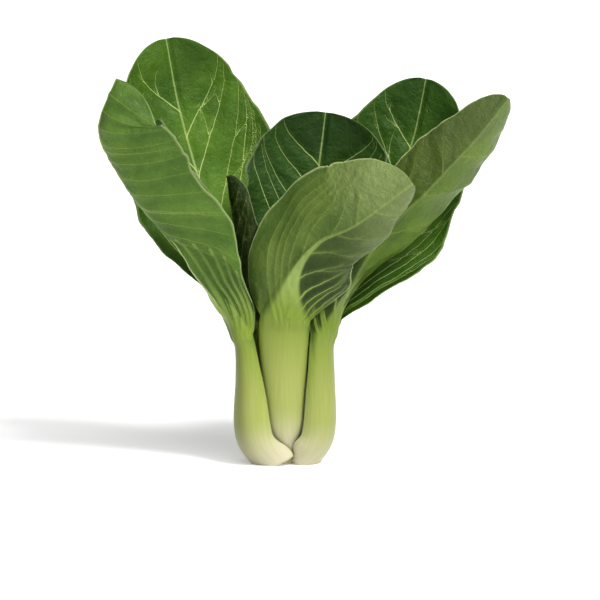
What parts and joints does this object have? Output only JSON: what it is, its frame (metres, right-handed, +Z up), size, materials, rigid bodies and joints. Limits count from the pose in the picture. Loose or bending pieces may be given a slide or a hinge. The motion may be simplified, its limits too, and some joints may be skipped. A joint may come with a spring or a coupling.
{
  "type": "bok choy",
  "caption": "Fresh head of bok choy with pale green overlapping stalks, a rounded bulb and broad veined dark green leaves, standing on its trimmed base.",
  "frame": {"origin": "centre of the trimmed cut base, at the level the head stands on", "axes": "+Z up along the head's axis; -Y towards the front leaf; +X towards the leaf that leans out to the right"},
  "size_m": [0.1903, 0.097, 0.1964],
  "materials": {
    "stalk": "smooth, waxy, pale green fading to cream at the base",
    "blade": "soft leaf surface, dark and glossy inside, duller and lighter outside, with pale veins",
    "cut_base": "dry cut stem, cream"
  },
  "bodies": {
    "root": {"cut_base": "cut_base", "front_leaf_stalk": "stalk", "front_leaf_blade": "blade", "left_leaf_stalk": "stalk", "left_leaf_blade": "blade", "right_leaf_stalk": "stalk", "right_leaf_blade": "blade", "back_left_leaf_stalk": "stalk", "back_left_leaf_blade": "blade", "back_right_leaf_stalk": "stalk", "back_right_leaf_blade": "blade", "back_middle_leaf_stalk": "stalk", "back_middle_leaf_blade": "blade", "inner_left_leaf_stalk": "stalk", "inner_left_leaf_blade": "blade", "heart_leaf_right_stalk": "stalk", "heart_leaf_right_blade": "blade", "heart_leaf_front_stalk": "stalk", "heart_leaf_front_blade": "blade"}
  },
  "joints": []
}
